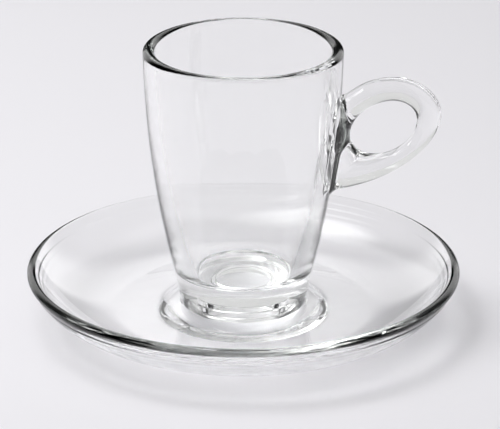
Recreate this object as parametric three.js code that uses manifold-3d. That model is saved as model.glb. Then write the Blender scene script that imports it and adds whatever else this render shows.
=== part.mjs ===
// Glass espresso cup standing on its saucer.
// Millimetres, +Z up. The saucer stands on z = 0 with its middle on the axis, and the handle points to +X.
import * as THREE from 'three';
import { mergeVertices } from 'three/addons/utils/BufferGeometryUtils.js';
import Module from 'manifold-3d';

// Cup, heights measured from the plane it stands on
const cupHeight = 75.5;
const mouthDiameter = 55.6;
const lipThickness = 3.3; // glass at the mouth
const lipRounding = 1.35; // height of the rounded top of the lip
const footDiameter = 35.4; // where the foot's slanted side would meet the standing plane
const footHeight = 8.6; // up to the crease between foot and bowl
const footSpread = 1.45; // how far the foot's side leans out over its height
const footRounding = 2.0;
const bellyHeight = 39; // height at which the lower and upper slants of the bowl's side would cross
const bellyInset = 0.6; // how far inside the mouth's radius they cross
const lowerWall = 4.1; // glass at the bottom of the bowl's side
const middleWall = 3.6; // glass halfway up
const floorThickness = 9.5; // solid glass under the bowl's floor
const floorFillet = 3.7; // height of the curve between floor and side
const floorFilletReach = 3.1; // how far that curve reaches in over the floor
const undersideDiameter = 19; // hollow under the base
const undersideDepth = 1.2;
const undersideSlant = 1.0;

// Handle, in the plane y = 0
const holeLength = 20.4; // finger hole, an oval
const holeHeight = 15;
const holeTilt = 39; // degrees that the oval's outer end is lifted
const holeDrop = 23; // below the top of the lip to the middle of the hole
const webThickness = 3.1; // glass between the wall and the hole
const topLimb = 4.6; // glass above the hole
const endLimb = 6.2; // glass beyond the hole
const handleDepth = 8.6; // across, along y
const handleRounding = 1.5; // of the handle's edges
const crestShift = 3.4; // highest point of the handle, outward of the hole's middle
const tipRise = 3.0; // outermost point of the handle, above the hole's middle
const rootAbove = 7.7; // upper end of the root, above the hole's middle
const rootBelow = 19.1; // lower end of the root, below the hole's middle
const rootRun = 4.1; // how the upper edge leaves the wall, outward and up
const rootLift = 3.0;
const crestPullIn = 5.1; // how long the outline stays level on both sides of its crest
const crestPullOut = 6.9;
const tipPullUp = 5.4; // how long it stays upright on both sides of its tip
const tipPullDown = 6.5;
const sweepRun = 20.2; // how the lower edge runs back to the wall, inward and down
const sweepLift = 5.5;
const rootBury = 2.0; // how far the drawn outline runs in under the wall before it is cut
const flareRadius = 1.6; // fillet where the handle's sides run out into the wall

// Saucer
const saucerDiameter = 122.4;
const plateThickness = 2.75;
const plateFlat = 72; // diameter of the flat middle, before the plate curves up
const rimSlope = 55.5; // degrees of the plate's slope at its rim
const ringDiameter = 42; // standing ring, under the seat's edge
const ringWidth = 3.6;
const ringHeight = 0.8;
const ringSlant = 0.9;
const ringRounding = 0.6;
const seatRise = 1.45; // seat of the cup above the plate's upper face
const slopeRun = 5.6; // run of the soft slope from the seat down to the plate
const slopeRounding = 2.2; // at both ends of that slope

// Fits
const seatMargin = 2.0; // of the saucer's seat round the foot
const jointGap = 0.3; // between the handle's root and the wall
const turns = 60; // facets round the axis

const glass = { color: 0xeef3f3, roughness: 0.03, metalness: 0, transparent: true, opacity: 0.35 };
const point = (r, z) => new THREE.Vector2(r, z);
const radians = THREE.MathUtils.degToRad;

// Places that several pieces share
const mouthRadius = mouthDiameter / 2;
const footRadius = footDiameter / 2;
const lipMiddle = cupHeight - lipRounding;
const plateUnder = ringHeight;
const plateTop = plateUnder + plateThickness;
const seatHeight = plateTop + seatRise;

// Points along a chain of [curve, steps] pairs, with straight runs between one curve and the next
function alongCurves(chain) {
  const points = [];
  for (const [curve, steps] of chain) {
    for (const place of curve.getPoints(steps)) {
      const last = points.at(-1);
      if (!last || last.distanceTo(place) > 1e-5) points.push(place);
    }
  }
  return points;
}

// Rounding of a profile's corner, of the given reach along both sides
function rounded(before, corner, after, reach) {
  const start = corner.clone().add(before.clone().sub(corner).setLength(reach));
  const end = corner.clone().add(after.clone().sub(corner).setLength(reach));
  return new THREE.QuadraticBezierCurve(start, corner, end);
}

// Solid turned about the Z axis from a profile that starts and ends on it
function turned(points) {
  return new THREE.LatheGeometry(points, turns).rotateX(Math.PI / 2);
}

// Outer side of the cup from the standing plane up to the lip
function cupOuterSide() {
  const inner = point(undersideDiameter / 2, 0);
  const corner = point(footRadius, 0);
  const crease = point(footRadius + footSpread, footHeight);
  const belly = point(mouthRadius - bellyInset, bellyHeight);
  const mouth = point(mouthRadius, lipMiddle);
  return alongCurves([
    [rounded(inner, corner, crease, footRounding), 4],
    [new THREE.QuadraticBezierCurve(crease, belly, mouth), 12],
  ]);
}

const outerSide = cupOuterSide();

// Radius of the cup's outer side at a height above the standing plane
function wallRadius(height) {
  const above = outerSide.findIndex((place) => place.y >= height);
  const low = outerSide[Math.max(above - 1, 0)];
  const high = outerSide[above];
  const share = (height - low.y) / Math.max(high.y - low.y, 1e-9);
  return THREE.MathUtils.lerp(low.x, high.x, share);
}

function cupBodyShape() {
  const hollow = undersideDiameter / 2;
  const lipMiddleRadius = mouthRadius - lipThickness / 2;
  const sideFoot = floorThickness + floorFillet;
  const innerLow = point(wallRadius(sideFoot) - lowerWall, sideFoot);
  const innerBelly = point(mouthRadius - bellyInset - middleWall, bellyHeight);
  const innerMouth = point(mouthRadius - lipThickness, lipMiddle);
  const slant = innerBelly.clone().sub(innerLow);
  const filletCorner = point(innerLow.x - (slant.x / slant.y) * floorFillet, floorThickness);
  const floorEdge = point(filletCorner.x - floorFilletReach, floorThickness);
  const lip = new THREE.EllipseCurve(lipMiddleRadius, lipMiddle, lipThickness / 2, lipRounding, 0, Math.PI);
  const inside = alongCurves([
    [lip, 8],
    [new THREE.QuadraticBezierCurve(innerMouth, innerBelly, innerLow), 9],
    [new THREE.QuadraticBezierCurve(innerLow, filletCorner, floorEdge), 4],
  ]);
  return turned([
    point(0, undersideDepth),
    point(hollow - undersideSlant, undersideDepth),
    point(hollow, 0),
    ...outerSide,
    ...inside.slice(1),
    point(0, floorThickness),
  ]);
}

// Middle and half extents of the tilted finger hole
function fingerHole() {
  const long = holeLength / 2;
  const short = holeHeight / 2;
  const tilt = radians(holeTilt);
  const halfWidth = Math.hypot(long * Math.cos(tilt), short * Math.sin(tilt));
  const halfHeight = Math.hypot(long * Math.sin(tilt), short * Math.cos(tilt));
  const z = cupHeight - holeDrop;
  const x = wallRadius(z) + webThickness + halfWidth;
  return { x, z, long, short, tilt, halfWidth, halfHeight };
}

const hole = fingerHole();
const rootTop = hole.z + rootAbove;
const rootBottom = hole.z - rootBelow;

// Side view of the handle: an ear that leaves the wall, rises to its crest, turns at its tip and sweeps back
function handleOutline() {
  const start = point(wallRadius(rootTop) - rootBury, rootTop);
  const crest = point(hole.x + crestShift, hole.z + hole.halfHeight + topLimb);
  const tip = point(hole.x + hole.halfWidth + endLimb, hole.z + tipRise);
  const end = point(wallRadius(rootBottom) - rootBury, rootBottom);
  const ear = new THREE.Shape();
  ear.moveTo(start.x, start.y);
  ear.bezierCurveTo(
    start.x + rootRun, start.y + rootLift, crest.x - crestPullIn, crest.y, crest.x, crest.y,
  );
  ear.bezierCurveTo(crest.x + crestPullOut, crest.y, tip.x, tip.y + tipPullUp, tip.x, tip.y);
  ear.bezierCurveTo(tip.x, tip.y - tipPullDown, end.x + sweepRun, end.y + sweepLift, end.x, end.y);
  ear.closePath();
  const opening = new THREE.Path();
  opening.absellipse(hole.x, hole.z, hole.long, hole.short, 0, 2 * Math.PI, false, hole.tilt);
  ear.holes.push(opening);
  return ear;
}

// Fillet that carries the handle's sides out into the round wall, lofted up the root
function rootFlare() {
  const levels = 12;
  const arcSteps = 5;
  const half = handleDepth / 2;
  const side = [[-rootBury / 2, half + flareRadius]];
  for (let step = 0; step <= arcSteps; step += 1) {
    const angle = (step / arcSteps) * (Math.PI / 2);
    side.push([flareRadius * (1 - Math.cos(angle)), half + flareRadius * (1 - Math.sin(angle))]);
  }
  const section = [...side, ...side.map(([out, across]) => [out, -across]).reverse()];
  const vertices = [];
  const low = rootBottom + handleRounding / 2;
  const high = rootTop - handleRounding / 2;
  for (let level = 0; level <= levels; level += 1) {
    const z = THREE.MathUtils.lerp(low, high, level / levels);
    for (const [out, across] of section) {
      const reach = wallRadius(z) + out;
      vertices.push(Math.sqrt(reach * reach - across * across), across, z);
    }
  }
  return loft(vertices, section, levels);
}

// Closed solid from rings of points stacked one above the other, with flat ends
function loft(vertices, section, levels) {
  const count = section.length;
  const faces = [];
  for (let level = 0; level < levels; level += 1) {
    for (let step = 0; step < count; step += 1) {
      const a = level * count + step;
      const b = level * count + ((step + 1) % count);
      faces.push(a, a + count, b, b, a + count, b + count);
    }
  }
  const outline = section.map(([out, across]) => point(out, across));
  for (const [a, b, c] of THREE.ShapeUtils.triangulateShape(outline, [])) {
    const top = levels * count;
    faces.push(a, c, b);
    faces.push(top + a, top + b, top + c);
  }
  const geometry = new THREE.BufferGeometry();
  geometry.setAttribute('position', new THREE.Float32BufferAttribute(vertices, 3));
  geometry.setIndex(faces);
  return geometry;
}

const wasm = await Module();
wasm.setup();

// Closed body for cutting and joining, without the faces that shrink to nothing on the axis
function toBody(geometry) {
  const plain = geometry.clone();
  plain.deleteAttribute('normal');
  plain.deleteAttribute('uv');
  const welded = mergeVertices(plain, 1e-4);
  const corners = welded.index.array;
  const kept = [];
  for (let face = 0; face < corners.length; face += 3) {
    const [a, b, c] = corners.slice(face, face + 3);
    if (a !== b && b !== c && c !== a) kept.push(a, b, c);
  }
  const vertProperties = new Float32Array(welded.attributes.position.array);
  const triVerts = new Uint32Array(kept);
  return new wasm.Manifold(new wasm.Mesh({ numProp: 3, vertProperties, triVerts }));
}

function toGeometry(body) {
  const mesh = body.getMesh();
  const geometry = new THREE.BufferGeometry();
  geometry.setAttribute('position', new THREE.Float32BufferAttribute(mesh.vertProperties, 3));
  geometry.setIndex(new THREE.Uint32BufferAttribute(mesh.triVerts, 1));
  geometry.computeVertexNormals();
  return geometry;
}

function handleShape() {
  const straight = handleDepth - 2 * handleRounding;
  const ear = new THREE.ExtrudeGeometry(handleOutline(), {
    depth: straight,
    bevelThickness: handleRounding,
    bevelSize: handleRounding,
    bevelOffset: -handleRounding,
    bevelSegments: 4,
    curveSegments: 14,
  });
  ear.rotateX(Math.PI / 2).translate(0, straight / 2, 0);
  const wall = outerSide.map((place) => point(place.x + jointGap, place.y));
  const bowl = turned([point(0, 0), ...wall, point(0, lipMiddle)]);
  return toGeometry(toBody(ear).add(toBody(rootFlare())).subtract(toBody(bowl)));
}

function saucerShape() {
  const flatRadius = plateFlat / 2;
  const slope = radians(rimSlope);
  const half = plateThickness / 2;
  const middleRadius = (saucerDiameter / 2 - half - flatRadius) / Math.sin(slope);
  const centre = point(flatRadius, plateUnder + half + middleRadius);
  const rim = point(
    centre.x + middleRadius * Math.sin(slope),
    centre.y - middleRadius * Math.cos(slope),
  );
  const down = -Math.PI / 2;
  const under = new THREE.EllipseCurve(
    centre.x, centre.y, middleRadius + half, middleRadius + half, down, down + slope, false,
  );
  const edge = new THREE.EllipseCurve(rim.x, rim.y, half, half, down + slope, down + slope + Math.PI, false);
  const upper = new THREE.EllipseCurve(
    centre.x, centre.y, middleRadius - half, middleRadius - half, down + slope, down, true,
  );

  const ringIn = ringDiameter / 2 - ringWidth / 2;
  const ringOut = ringDiameter / 2 + ringWidth / 2;
  const ring = [
    point(ringIn - ringSlant, plateUnder),
    point(ringIn, 0),
    point(ringOut, 0),
    point(ringOut + ringSlant, plateUnder),
  ];

  const seatEdge = point(footRadius + seatMargin, seatHeight);
  const slopeFoot = point(seatEdge.x + slopeRun, plateTop);
  const seatMiddle = point(0, seatHeight);
  const plateEdge = point(flatRadius, plateTop);

  return turned([
    point(0, plateUnder),
    ...alongCurves([
      [rounded(point(0, plateUnder), ring[0], ring[1], ringRounding), 2],
      [rounded(ring[0], ring[1], ring[2], ringRounding), 3],
      [rounded(ring[1], ring[2], ring[3], ringRounding), 3],
      [rounded(ring[2], ring[3], point(flatRadius, plateUnder), ringRounding), 2],
      [under, 9],
      [edge, 8],
      [upper, 9],
      [rounded(plateEdge, slopeFoot, seatEdge, slopeRounding), 4],
      [rounded(slopeFoot, seatEdge, seatMiddle, slopeRounding), 4],
    ]),
    seatMiddle,
  ]);
}

function piece(name, geometry) {
  const mesh = new THREE.Mesh(geometry, new THREE.MeshStandardMaterial(glass));
  mesh.name = name;
  return mesh;
}

const cup = new THREE.Group();
cup.position.z = seatHeight;
cup.add(piece('cup_body', cupBodyShape()), piece('handle', handleShape()));

const set = new THREE.Group();
set.add(cup, piece('saucer', saucerShape()));

export default set;
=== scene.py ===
import math

import bpy
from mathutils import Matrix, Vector


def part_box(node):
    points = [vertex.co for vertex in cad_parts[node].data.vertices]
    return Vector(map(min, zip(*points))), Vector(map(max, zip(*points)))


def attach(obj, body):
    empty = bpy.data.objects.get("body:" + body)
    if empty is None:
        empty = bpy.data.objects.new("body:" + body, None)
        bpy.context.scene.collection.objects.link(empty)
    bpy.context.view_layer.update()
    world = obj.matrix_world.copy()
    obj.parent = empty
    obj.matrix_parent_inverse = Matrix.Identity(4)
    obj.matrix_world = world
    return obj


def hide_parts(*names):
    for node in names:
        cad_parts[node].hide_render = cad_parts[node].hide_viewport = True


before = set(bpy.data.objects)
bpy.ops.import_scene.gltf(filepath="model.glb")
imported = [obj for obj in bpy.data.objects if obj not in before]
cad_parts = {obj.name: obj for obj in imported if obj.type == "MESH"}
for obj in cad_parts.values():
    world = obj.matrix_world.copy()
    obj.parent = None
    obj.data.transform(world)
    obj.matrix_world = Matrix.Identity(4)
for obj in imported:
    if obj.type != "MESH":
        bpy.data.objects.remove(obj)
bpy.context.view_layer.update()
mm = 0.001
longestRun = 1.5  # straight stretch of a profile, in millimetres
tooClose = 1e-4  # points of a profile that count as one
tiny = 1e-9
print("frame loaded with", len(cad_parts), "solids")


# curves in the plane of a profile, as lists of 2-D points in millimetres

def bezier(controls, steps):
    points = []
    for step in range(steps + 1):
        row = [Vector(control) for control in controls]
        while len(row) > 1:
            row = [a.lerp(b, step / steps) for a, b in zip(row, row[1:])]
        points.append(row[0])
    return points


def ellipseArc(centre, radii, start, end, steps):
    points = []
    for step in range(steps + 1):
        turn = start + (end - start) * step / steps
        across, up = radii[0] * math.cos(turn), radii[1] * math.sin(turn)
        points.append(Vector((centre[0] + across, centre[1] + up)))
    return points


def roundCorner(before, corner, after, reach, steps):
    corner = Vector(corner)
    entry = corner + (Vector(before) - corner).normalized() * reach
    leave = corner + (Vector(after) - corner).normalized() * reach
    return bezier([entry, corner, leave], steps)


def chain(*runs):
    points = []
    for run in runs:
        for point in run:
            point = Vector(point)
            if not points or (points[-1] - point).length > tooClose:
                points.append(point)
    return points


def ease(x):
    x = min(max(x, 0.0), 1.0)
    return x * x * (3 - 2 * x)


def finely(points):  # splits long straight runs, so that smooth shading stays true
    fine = [points[0]]
    for a, b in zip(points, points[1:]):
        parts = max(1, math.ceil((b - a).length / longestRun))
        fine += [a.lerp(b, part / parts) for part in range(1, parts + 1)]
    return fine


# glass: shader maths on wired sockets

class Wire:
    def __init__(self, tree, socket=None):
        self.tree, self.socket = tree, socket

    def make(self, kind, settings=None, inputs=None, output=0):
        node = self.tree.nodes.new(kind)
        for key, value in (settings or {}).items():
            setattr(node, key, value)
        for key, value in (inputs or {}).items():
            if isinstance(value, Wire):
                self.tree.links.new(value.socket, node.inputs[key])
            else:
                node.inputs[key].default_value = value
        return Wire(self.tree, node.outputs[output]) if node.outputs else None

    def math(self, operation, first, second):
        return self.make("ShaderNodeMath", {"operation": operation}, {0: first, 1: second})

    def __add__(self, other):
        return self.math("ADD", self, other)

    def __radd__(self, other):
        return self.math("ADD", other, self)

    def __sub__(self, other):
        return self.math("SUBTRACT", self, other)

    def __rsub__(self, other):
        return self.math("SUBTRACT", other, self)

    def __mul__(self, other):
        return self.math("MULTIPLY", self, other)

    def __rmul__(self, other):
        return self.math("MULTIPLY", other, self)


def newTree(owner):
    owner.use_nodes = True
    owner.node_tree.nodes.clear()
    return Wire(owner.node_tree)


def noise(wire, vector, scale, detail):
    return wire.make("ShaderNodeTexNoise", inputs={"Vector": vector, "Scale": scale, "Detail": detail})


def softStep(wire, value, edge, start, end):  # smooth change between two levels
    return wire.make("ShaderNodeMapRange", {"interpolation_type": "SMOOTHSTEP"}, {
        "Value": value, "From Min": edge[0], "From Max": edge[1], "To Min": start, "To Max": end})


clearGlass = {
    "ior": 1.52,
    "tint": (1.0, 1.0, 1.0),  # thin glass
    "tintDeep": (0.997, 0.999, 0.997),  # where the melt is a little greener
    "absorb": (0.74, 0.81, 0.77),
    "absorbDensity": 3.0,  # per metre
    "cordScale": 55,  # faint cords in the melt, per metre
    "cordHeight": 0.35,  # against the waviness
    "waveScale": 120,  # mould waviness, per metre
    "waveHeight": 0.00004,
    "polish": 0.0,
    "smudge": 0.012,
    "smudgeScale": 240,  # per metre
}


def glassMaterial(name, look, stretch):
    material = bpy.data.materials.new(name)
    wire = newTree(material)
    place = wire.make("ShaderNodeTexCoord", output="Object")
    drawn = wire.make("ShaderNodeMapping", inputs={"Vector": place, "Scale": stretch})
    cords = noise(wire, drawn, look["cordScale"], 3)
    wave = noise(wire, drawn, look["waveScale"], 1)
    film = noise(wire, place, look["smudgeScale"], 5)
    tint = wire.make("ShaderNodeMix", {"data_type": "RGBA"}, {
        "Factor": cords, 6: (*look["tint"], 1), 7: (*look["tintDeep"], 1)}, output=2)
    bump = wire.make("ShaderNodeBump", inputs={
        "Height": wave + look["cordHeight"] * cords, "Distance": look["waveHeight"], "Strength": 1.0})
    rough = look["polish"] + look["smudge"] * film * film
    shader = wire.make("ShaderNodeBsdfPrincipled", inputs={
        "Base Color": tint, "Roughness": rough, "Normal": bump,
        "IOR": look["ior"], "Transmission Weight": 1.0})
    inside = wire.make("ShaderNodeVolumeAbsorption", inputs={
        "Color": (*look["absorb"], 1), "Density": look["absorbDensity"]})
    wire.make("ShaderNodeOutputMaterial", inputs={"Surface": shader, "Volume": inside})
    return material


saucerLook = {**clearGlass, "waveHeight": 0.00002}  # pressed smoother than the cup
cupGlass = glassMaterial("cupGlass", clearGlass, (1, 1, 0.35))
saucerGlass = glassMaterial("saucerGlass", saucerLook, (1, 1, 1))
print("glass mixed")


# turning a profile round the axis, in Geometry Nodes

def turningTree():
    tree = bpy.data.node_groups.new("turnedGlass", "GeometryNodeTree")
    sockets = {"Profile": "NodeSocketGeometry", "Turns": "NodeSocketInt", "Glass": "NodeSocketMaterial"}
    for name, kind in sockets.items():
        tree.interface.new_socket(name, in_out="INPUT", socket_type=kind)
    tree.interface.new_socket("Turned", in_out="OUTPUT", socket_type="NodeSocketGeometry")
    entry = tree.nodes.new("NodeGroupInput")
    given = {name: Wire(tree, entry.outputs[name]) for name in sockets}
    wire = Wire(tree)

    def whole(operation, first, second):
        return wire.make("FunctionNodeIntegerMath", {"operation": operation}, {0: first, 1: second})

    count = wire.make("GeometryNodeAttributeDomainSize", {"component": "MESH"}, {
        "Geometry": given["Profile"]})
    sheet = wire.make("GeometryNodeMeshGrid", inputs={
        "Vertices X": whole("ADD", given["Turns"], 1), "Vertices Y": count})
    index = wire.make("GeometryNodeInputIndex")
    place = wire.make("GeometryNodeInputPosition")
    onProfile = wire.make("GeometryNodeSampleIndex", {"data_type": "FLOAT_VECTOR"}, {
        "Geometry": given["Profile"], "Value": place, "Index": whole("MODULO", index, count)})
    share = wire.math("DIVIDE", whole("DIVIDE_FLOOR", index, count), given["Turns"])
    swung = wire.make("ShaderNodeVectorRotate", {"rotation_type": "Z_AXIS"}, {
        "Vector": onProfile, "Angle": share * math.tau})
    turned = wire.make("GeometryNodeSetPosition", inputs={"Geometry": sheet, "Position": swung})
    closed = wire.make("GeometryNodeMergeByDistance", inputs={"Geometry": turned, "Distance": 1e-7})
    smooth = wire.make("GeometryNodeSetShadeSmooth", inputs={"Geometry": closed})
    real = wire.make("GeometryNodeRealizeInstances", inputs={"Geometry": smooth})
    glazed = wire.make("GeometryNodeSetMaterial", inputs={"Geometry": real, "Material": given["Glass"]})
    wire.make("NodeGroupOutput", inputs={"Turned": glazed})
    return tree


turnedGlass = turningTree()


def newObject(name, vertices, faces=(), edges=()):
    mesh = bpy.data.meshes.new(name)
    mesh.from_pydata(vertices, edges, faces)
    piece = bpy.data.objects.new(name, mesh)
    bpy.context.collection.objects.link(piece)
    return piece


def settle(piece):  # the modifiers' result becomes the plain mesh
    graph = bpy.context.evaluated_depsgraph_get()
    made = bpy.data.meshes.new_from_object(piece.evaluated_get(graph))
    piece.modifiers.clear()
    piece.data = made
    return piece


def turnedPiece(name, profile, turns, material):
    edges = [(k, k + 1) for k in range(len(profile) - 1)]
    piece = newObject(name, [(r * mm, 0, z * mm) for r, z in profile], edges=edges)
    modifier = piece.modifiers.new("turning", "NODES")
    items = turnedGlass.interface.items_tree
    inputs = {item.name: item.identifier for item in items if item.in_out == "INPUT"}
    modifier.node_group = turnedGlass
    modifier[inputs["Turns"]] = turns
    modifier[inputs["Glass"]] = material
    return settle(piece)


# cup: bowl, thick base and foot from one profile; heights are above the seat

cupLow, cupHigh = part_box("cup_body")
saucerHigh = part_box("saucer")[1]
seat = cupLow.z / mm
cup = {
    "height": (cupHigh.z - cupLow.z) / mm,
    "mouth": cupHigh.x / mm,  # radius
    "lipWall": 3.3,
    "lipRise": 1.35,
    "foot": 17.7,  # radius
    "footHeight": 8.6,
    "footSpread": 1.45,
    "footRound": 1.0,
    "creaseRound": 0.7,
    "belly": 39,  # height where the two slants of the side cross
    "bellyInset": 0.6,
    "lowerWall": 5.2,
    "middleWall": 3.6,
    "floor": 9.5,
    "floorCurve": 2.4,
    "floorReach": 1.1,
    "hollow": 9.6,  # radius of the hollow underneath
    "hollowDepth": 3.2,
    "hollowSlant": 0.2,
    "hollowRound": 0.15,
    "ledge": 1.2,  # width of the step inside the hollow
    "ledgeDepth": 1.7,
    "film": 0.04,  # air under the foot where it stands on the seat
    "sidePoints": 60,
    "footPoints": 10,
    "creasePoints": 6,
    "hollowPoints": 5,
    "lipPoints": 28,
    "floorPoints": 14,
    "turns": 256,
}


def cupOutside(c):
    lipMiddle = c["height"] - c["lipRise"]
    crease = Vector((c["foot"] + c["footSpread"], c["footHeight"]))
    belly = Vector((c["mouth"] - c["bellyInset"], c["belly"]))
    side = bezier([crease, belly, (c["mouth"], lipMiddle)], c["sidePoints"])
    side = [point for point in side if (point - crease).length > c["creaseRound"]]
    corner = Vector((c["foot"], c["film"]))
    return chain(
        roundCorner((c["hollow"], c["film"]), corner, crease, c["footRound"], c["footPoints"]),
        roundCorner(corner, crease, side[0], c["creaseRound"], c["creasePoints"]),
        side,
    )


cupSide = cupOutside(cup)


def wallRadius(height):
    for low, high in zip(cupSide, cupSide[1:]):
        if low.y <= height <= high.y:
            return low.lerp(high, (height - low.y) / max(high.y - low.y, tiny)).x
    return cupSide[-1].x


def cupProfile(c):
    lipMiddle = c["height"] - c["lipRise"]
    sideFoot = c["floor"] + c["floorCurve"]
    innerLow = Vector((wallRadius(sideFoot) - c["lowerWall"], sideFoot))
    innerBelly = Vector((c["mouth"] - c["bellyInset"] - c["middleWall"], c["belly"]))
    innerMouth = Vector((c["mouth"] - c["lipWall"], lipMiddle))
    lean = (innerBelly.x - innerLow.x) / (innerBelly.y - innerLow.y)
    curveCorner = Vector((innerLow.x - lean * c["floorCurve"], c["floor"]))
    floorEdge = Vector((curveCorner.x - c["floorReach"], c["floor"]))
    lipCentre = (c["mouth"] - c["lipWall"] / 2, lipMiddle)
    hollowEdge = Vector((c["hollow"], c["film"]))
    ledgeOut = Vector((c["hollow"] - c["hollowSlant"], c["ledgeDepth"]))
    ledgeIn = ledgeOut - Vector((c["ledge"], 0))
    hollowTop = Vector((ledgeIn.x - c["hollowSlant"], c["hollowDepth"]))
    hollow = [(0, c["hollowDepth"]), hollowTop, ledgeIn, ledgeOut, hollowEdge, (c["foot"], c["film"])]
    corners = zip(hollow, hollow[1:], hollow[2:])
    return finely(chain(
        hollow[:1],
        *[roundCorner(*corner, c["hollowRound"], c["hollowPoints"]) for corner in corners],
        cupSide,
        ellipseArc(lipCentre, (c["lipWall"] / 2, c["lipRise"]), 0, math.pi, c["lipPoints"]),
        bezier([innerMouth, innerBelly, innerLow], c["sidePoints"]),
        bezier([innerLow, curveCorner, floorEdge], c["floorPoints"]),
        [(0, c["floor"])],
    ))


def lifted(profile, height):
    return [Vector((point.x, point.y + height)) for point in profile]


cupPiece = turnedPiece("cup_glass", lifted(cupProfile(cup), seat), cup["turns"], cupGlass)
print("cup turned:", len(cupPiece.data.vertices), "points")


# handle: an ear lofted round its finger hole, with a fillet where it runs out into the wall

ear = {
    "holeLong": 9.8,  # half length of the oval
    "holeShort": 7.35,
    "holeTilt": 29.5,  # degrees
    "holeDrop": 23.5,  # below the lip
    "web": 3.1,
    "topLimb": 6.5,
    "endLimb": 6.7,
    "depth": 8.0,  # across, at the root
    "tipDepth": 5.4,  # and at the tip
    "crown": 2.06,  # power of the section's oval
    "crestShift": 3.3,
    "tipRise": 3.6,
    "rootAbove": 6.2,
    "rootBelow": 19.0,
    "rootLeave": (7.9, 6.8),
    "crestPull": (6.7, 4.6),
    "tipPull": (7.5, 7.3),
    "sweep": (23.4, 2.9),
    "bury": 2.8,
    "flare": 1.3,  # how far from the wall the glass starts to swell
    "webFlare": 2.4,  # more at the height of the hole
    "webReach": 5.0,
    "webPower": 4,  # the larger, the squarer its ends
    "flareSink": 1.4,
    "flarePower": 1.6,  # the larger, the tighter the curve
    "flareDepth": 5.0,  # swelling along the wall
    "flareEnds": 1.5,  # swelling up and down it
    "limbPoints": 80,
    "sweepPoints": 120,
    "stations": 240,
    "sectionSteps": 48,
}
tilt = math.radians(ear["holeTilt"])
holeWide = math.hypot(ear["holeLong"] * math.cos(tilt), ear["holeShort"] * math.sin(tilt))
holeTall = math.hypot(ear["holeLong"] * math.sin(tilt), ear["holeShort"] * math.cos(tilt))
holeHeight = cup["height"] - ear["holeDrop"]
holeCentre = Vector((wallRadius(holeHeight) + ear["web"] + holeWide, holeHeight))


def flareAt(gap, height):  # share of the full swelling at this distance from the wall
    atWeb = math.exp(-((height - holeHeight) / ear["webReach"]) ** ear["webPower"])
    reach = ear["flare"] + ear["webFlare"] * atWeb
    near = (reach - gap) / (reach + ear["flareSink"])
    return min(max(near, 0.0), 1.0) ** ear["flarePower"]


def earOutline(e):
    rootTop, rootBottom = holeCentre.y + e["rootAbove"], holeCentre.y - e["rootBelow"]
    start = Vector((wallRadius(rootTop) - e["bury"], rootTop))
    crest = holeCentre + Vector((e["crestShift"], holeTall + e["topLimb"]))
    tip = holeCentre + Vector((holeWide + e["endLimb"], e["tipRise"]))
    end = Vector((wallRadius(rootBottom) - e["bury"], rootBottom))
    pullIn, pullOut = (Vector((pull, 0)) for pull in e["crestPull"])
    pullUp, pullDown = (Vector((0, pull)) for pull in e["tipPull"])
    points = chain(
        bezier([start, start + Vector(e["rootLeave"]), crest - pullIn, crest], e["limbPoints"]),
        bezier([crest, crest + pullOut, tip + pullUp, tip], e["limbPoints"]),
        bezier([tip, tip - pullDown, end + Vector(e["sweep"]), end], e["sweepPoints"]),
    )
    swollen = []
    for k, point in enumerate(points):
        along = points[min(k + 1, len(points) - 1)] - points[max(k - 1, 0)]
        outward = Vector((-along.y, along.x)).normalized()
        swollen.append(point + outward * e["flareEnds"] * flareAt(point.x - wallRadius(point.y), point.y))
    return swollen


def reachOut(outline, direction):  # where a ray from the hole's middle leaves the outline
    best = None
    for a, b in zip(outline, outline[1:] + outline[:1]):
        edge, toward = b - a, a - holeCentre
        cross = direction.x * edge.y - direction.y * edge.x
        if abs(cross) < tiny:
            continue
        far = (toward.x * edge.y - toward.y * edge.x) / cross
        share = (toward.x * direction.y - toward.y * direction.x) / cross
        if far > 0 and -tiny <= share <= 1 + tiny and (best is None or far > best):
            best = far
    return holeCentre + direction * best


def limbSection(e, length, depth):  # half a section from the hole's side to the outside, as (run, across)
    points = []
    for step in range(e["sectionSteps"] + 1):
        turn = math.pi * step / e["sectionSteps"]
        run, across = math.cos(turn), max(math.sin(turn), 0)
        run = math.copysign(abs(run) ** (2 / e["crown"]), run)
        points.append((length / 2 * (1 - run), depth / 2 * across ** (2 / e["crown"])))
    return points


def earMesh(e):
    outline = earOutline(e)
    vertices, faces = [], []
    rootEnd, tipEnd = wallRadius(holeHeight), max(point.x for point in outline)
    for station in range(e["stations"]):
        turn = math.tau * station / e["stations"]
        long, short = e["holeLong"] * math.cos(turn), e["holeShort"] * math.sin(turn)
        inner = holeCentre + Vector((
            long * math.cos(tilt) - short * math.sin(tilt), long * math.sin(tilt) + short * math.cos(tilt)))
        outer = reachOut(outline, (inner - holeCentre).normalized())
        along = (outer - inner).normalized()
        toTip = ease(((inner.x + outer.x) / 2 - rootEnd) / (tipEnd - rootEnd))
        depth = e["depth"] + (e["tipDepth"] - e["depth"]) * toTip
        upper = limbSection(e, (outer - inner).length, depth)
        loop = upper + [(run, -across) for run, across in upper[-2:0:-1]]
        for run, across in loop:
            flatPlace = inner + along * run
            gap = math.hypot(flatPlace.x, across) - wallRadius(flatPlace.y)
            across += e["flareDepth"] * flareAt(gap, flatPlace.y) * across / (depth / 2)
            vertices.append((flatPlace.x * mm, across * mm, (flatPlace.y + seat) * mm))
    count = len(loop)
    for station in range(e["stations"]):
        here, there = station * count, (station + 1) % e["stations"] * count
        for k in range(count):
            n = (k + 1) % count
            faces.append((here + k, here + n, there + n, there + k))
    return vertices, faces


earPiece = newObject("ear_glass", *earMesh(ear))
earPiece.data.shade_smooth()
earPiece.data.materials.append(cupGlass)
print("handle lofted:", len(earPiece.data.vertices), "points")

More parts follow.
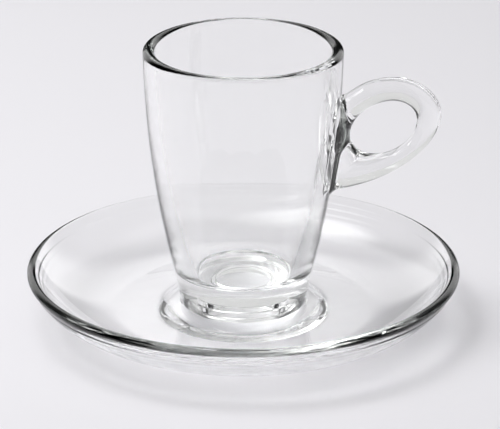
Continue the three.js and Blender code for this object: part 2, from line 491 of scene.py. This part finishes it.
fuse = cupPiece.modifiers.new("fusedHandle", "BOOLEAN")
fuse.operation = "UNION"
fuse.solver = "EXACT"
fuse.object = earPiece
settle(cupPiece)
bpy.data.objects.remove(earPiece)
cupPiece.data.shade_smooth()
print("handle fused:", len(cupPiece.data.polygons), "faces")


# saucer: plate, upturned rim, raised seat and standing ring, from one profile

dish = {
    "radius": saucerHigh.x / mm,
    "inset": 0.06,  # of the rim from the solid's edge
    "thick": 2.75,
    "flat": 36,  # radius of the flat middle
    "rimSlope": 55.5,  # degrees
    "rimCorner": 1.15,
    "rimCrown": 0.15,  # rise of the rim's edge, and
    "rimFlat": 0.2,  # its flat middle, against half the thickness
    "fullness": 0.4,  # the wall is this much thicker below the rim
    "fullRun": 9.0,
    "fullStart": 0.6,  # share of the bend by which it is fully so
    "stepBelow": 1.9,  # below the rim, the mould's fine step
    "stepHigh": 0.1,
    "stepRun": 0.6,
    "ripple": 0.045,  # height of the fine rings that the mould leaves on the outer face
    "rippleRun": 2.0,  # from one to the next
    "rippleEnd": 7.0,  # below the rim
    "ring": 20.2,  # radius of the standing ring, under the seat's edge
    "ringWide": 5.6,
    "ringHigh": 0.8,
    "ringSlant": 2.6,  # half the run of its soft sides
    "seatEdge": 18.6,  # radius of the cup's seat
    "slopeRun": 6.4,  # of the soft slope from the seat down to the plate
    "wallPoints": 150,
    "crowding": 1.5,  # the larger, the closer they stand near the rim
    "ringPoints": 12,
    "edgePoints": 14,
    "bendPoints": 40,
    "slopePoints": 16,
    "turns": 288,
}


def rimEdge(d, middle, slope):  # a nearly flat edge with two rounded corners
    half = d["thick"] / 2
    along = Vector((math.cos(slope), math.sin(slope)))
    outward = Vector((math.sin(slope), -math.cos(slope)))
    middle = Vector(middle)
    under, top = middle + outward * half, middle - outward * half
    end = along * d["rimCorner"]
    crown = middle + along * (d["rimCorner"] + d["rimCrown"] * half)
    flat = outward * half * d["rimFlat"]
    return chain(
        bezier([under, under + end, crown + flat], d["edgePoints"]),
        bezier([crown - flat, top + end, top], d["edgePoints"]),
    )


def steppedWall(d, centre, radius, slope):  # outer face of the upturned wall, with its step and rings
    points = []
    for k in range(d["wallPoints"] + 1):
        share = 1 - (1 - k / d["wallPoints"]) ** d["crowding"]
        turn = slope * share - math.pi / 2
        fromRim = (1 - share) * slope * radius
        fuller = d["fullness"] * ease(fromRim / d["fullRun"])
        fuller += d["stepHigh"] * ease((fromRim - d["stepBelow"]) / d["stepRun"])
        fading = ease(fromRim / d["rippleRun"]) * max(1 - fromRim / d["rippleEnd"], 0)
        fuller += d["ripple"] * fading * math.sin(math.tau * fromRim / d["rippleRun"])
        reach = radius + fuller * ease(share / d["fullStart"])
        points.append(Vector((centre[0] + reach * math.cos(turn), centre[1] + reach * math.sin(turn))))
    return points


def dishProfile(d):
    slope, half = math.radians(d["rimSlope"]), d["thick"] / 2
    bend = (d["radius"] - d["inset"] - half - d["flat"]) / math.sin(slope)
    under, top = d["ringHigh"], d["ringHigh"] + d["thick"]
    centre = (d["flat"], under + half + bend)
    rim = (centre[0] + bend * math.sin(slope), centre[1] - bend * math.cos(slope))
    down = -math.pi / 2
    ringIn, ringOut = d["ring"] - d["ringWide"] / 2, d["ring"] + d["ringWide"] / 2
    swell = d["ringSlant"]
    ringRise = [(ringIn - swell, under), (ringIn, under), (ringIn, 0), (ringIn + swell, 0)]
    ringFall = [(ringOut - swell, 0), (ringOut, 0), (ringOut, under), (ringOut + swell, under)]
    slopeFoot = d["seatEdge"] + d["slopeRun"]
    slopeMiddle = d["seatEdge"] + d["slopeRun"] / 2
    seatSlope = [(slopeFoot, top), (slopeMiddle, top), (slopeMiddle, seat), (d["seatEdge"], seat)]
    return finely(chain(
        [(0, under)],
        bezier(ringRise, d["ringPoints"]),
        bezier(ringFall, d["ringPoints"]),
        steppedWall(d, centre, bend + half, slope),
        rimEdge(d, rim, slope),
        ellipseArc(centre, (bend - half, bend - half), down + slope, down, d["bendPoints"]),
        bezier(seatSlope, d["slopePoints"]),
        [(0, seat)],
    ))


saucerPiece = turnedPiece("saucer_glass", dishProfile(dish), dish["turns"], saucerGlass)
print("saucer turned:", len(saucerPiece.data.vertices), "points")

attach(cupPiece, "cup")
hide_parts("cup_body", "handle")
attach(saucerPiece, "saucer")
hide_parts("saucer")


# stage: pale table, one soft overhead box and a studio that is dark at its sides

stageLook = {
    "floorWide": 0.42,  # half width: the table ends in the dark at both sides
    "floorFront": -1.2,
    "floorBack": 0.5,
    "floorFade": 0.25,  # seen directly, the table fades into the pale studio over this width
    "floorGap": 0.1,  # the standing ring's bottom and the table do not share a plane
    "floorColour": (0.80, 0.79, 0.82),
    "grain": 1.02,  # paler flecks against that colour
    "grainScale": 9,  # per metre
    "paleWorld": (0.80, 0.79, 0.82),
    "topLight": 0.75,
    "topEdge": (0.7, 0.9),  # its soft edge, as the sine of its height
    "topMirror": 0.25,  # share of it that the glass mirrors
    "backLight": 0.72,
    "backHigh": (0.45, 0.7),
    "backSides": (0.5, 0.75),
    "archLight": 1.4,  # pale arch behind, which the level plate mirrors and the higher lip does not
    "archOut": (0.6, 0.8),  # its soft outer edge, as the cosine of the angle from straight back
    "archIn": (0.908, 0.946),
    "sideLight": 0.012,
    "boxPlace": (-0.40, 0.05, 1.0),
    "boxSize": 1.2,
    "boxPeak": 3.33,  # its middle against its mean
    "boxPower": 9.8,
}


def layTable(s):
    wide, front, back, low = s["floorWide"], s["floorFront"], s["floorBack"], -s["floorGap"] * mm
    corners = [(-wide, front, low), (wide, front, low), (wide, back, low), (-wide, back, low)]
    floor = newObject("table", corners, [(0, 1, 2, 3)])
    material = bpy.data.materials.new("paleTable")
    wire = newTree(material)
    place = wire.make("ShaderNodeTexCoord", output="Object")
    grain = noise(wire, place, s["grainScale"], 2)
    paler = [min(1, channel * s["grain"]) for channel in s["floorColour"]]
    colour = wire.make("ShaderNodeMix", {"data_type": "RGBA"}, {
        "Factor": grain, 6: (*s["floorColour"], 1), 7: (*paler, 1)}, output=2)
    shader = wire.make("ShaderNodeBsdfPrincipled", inputs={
        "Base Color": colour, "Roughness": 0.9, "Specular IOR Level": 0.1})
    across = wire.make("ShaderNodeSeparateXYZ", inputs={"Vector": place}, output="X")
    along = wire.make("ShaderNodeSeparateXYZ", inputs={"Vector": place}, output="Y")
    fromSides = wide - wire.math("ABSOLUTE", across, 0)
    fromEnds = wire.math("MINIMUM", back - along, along - front)
    faded = softStep(wire, wire.math("MINIMUM", fromSides, fromEnds), (0, s["floorFade"]), 1, 0)
    seen = wire.make("ShaderNodeLightPath", output="Is Camera Ray")
    clear = wire.make("ShaderNodeBsdfTransparent")
    surface = wire.make("ShaderNodeMixShader", inputs={0: seen * faded, 1: shader, 2: clear})
    wire.make("ShaderNodeOutputMaterial", inputs={"Surface": surface})
    floor.data.materials.append(material)


def studioWorld(s):
    world = bpy.data.worlds.new("studio")
    wire = newTree(world)
    way = wire.make("ShaderNodeTexCoord", output="Generated")
    up = wire.make("ShaderNodeSeparateXYZ", inputs={"Vector": way}, output="Z")
    behind = wire.make("ShaderNodeSeparateXYZ", inputs={"Vector": way}, output="Y")
    seen = wire.make("ShaderNodeLightPath", output="Is Camera Ray")
    through = wire.make("ShaderNodeLightPath", output="Is Transmission Ray")
    mirrored = wire.make("ShaderNodeLightPath", output="Is Glossy Ray") * (1 - through)
    top = softStep(wire, up, s["topEdge"], s["sideLight"], s["topLight"])
    low = softStep(wire, up, s["backHigh"], s["backLight"], s["sideLight"])
    back = softStep(wire, behind, s["backSides"], s["sideLight"], low)
    archOut = softStep(wire, behind, s["archOut"], 0, 1)
    archIn = softStep(wire, behind, s["archIn"], s["archLight"], 0)
    arch = archOut * archIn + s["sideLight"]
    ceiling = top * (1 - (1 - s["topMirror"]) * mirrored)
    around = back * (1 - mirrored) + arch * mirrored
    dark = wire.make("ShaderNodeBackground", inputs={
        "Color": (1, 1, 1, 1), "Strength": wire.math("MAXIMUM", ceiling, around)})
    pale = wire.make("ShaderNodeBackground", inputs={"Color": (*s["paleWorld"], 1), "Strength": 1.0})
    both = wire.make("ShaderNodeMixShader", inputs={0: seen, 1: dark, 2: pale})
    wire.make("ShaderNodeOutputWorld", inputs={"Surface": both})
    bpy.context.scene.world = world


def softBox(s):
    lamp = bpy.data.lights.new("overheadBox", "AREA")
    lamp.energy = s["boxPower"]
    lamp.shape = "DISK"
    lamp.size = s["boxSize"]
    wire = newTree(lamp)
    place = wire.make("ShaderNodeNewGeometry", output="Parametric")
    fromMiddle = wire.make("ShaderNodeVectorMath", {"operation": "DISTANCE"}, {
        0: place, 1: (0.5, 0.5, 0)}, output="Value")
    fading = softStep(wire, fromMiddle, (0, 0.5), s["boxPeak"], 0)
    glow = wire.make("ShaderNodeEmission", inputs={"Color": (1, 1, 1, 1), "Strength": fading})
    wire.make("ShaderNodeOutputLight", inputs={"Surface": glow})
    box = bpy.data.objects.new("overheadBox", lamp)
    box.location = s["boxPlace"]
    box.rotation_euler = (-Vector(s["boxPlace"])).to_track_quat("-Z", "Y").to_euler()
    box.visible_glossy = False
    bpy.context.collection.objects.link(box)


layTable(stageLook)
studioWorld(stageLook)
softBox(stageLook)
print("stage set")


# camera of the photograph

photo = {
    "width": 500,  # pixels
    "axisColumn": 242.85,  # of the cup's axis, in pixels
    "focal": 3106.3,  # in pixels
    "distance": 0.8132,
    "height": 0.3514,
    "pitch": 0.3754,  # radians
}
lens = bpy.data.cameras.new("photoCamera")
lens.sensor_width = 36
lens.lens = photo["focal"] * lens.sensor_width / photo["width"]
eye = bpy.data.objects.new("photoCamera", lens)
eye.location = (0, -photo["distance"], photo["height"])
sideways = math.atan((photo["width"] / 2 - photo["axisColumn"]) / photo["focal"])
eye.rotation_euler = (math.pi / 2 - photo["pitch"], 0, -sideways)
bpy.context.collection.objects.link(eye)

scene = bpy.context.scene
scene.camera = eye
scene.view_settings.view_transform = "Standard"
scene.cycles.max_bounces = 48
scene.cycles.transmission_bounces = 32
scene.cycles.glossy_bounces = 16  # more would brighten the dark lip and rim
scene.cycles.blur_glossy = 0
scene.cycles.sample_clamp_indirect = 0
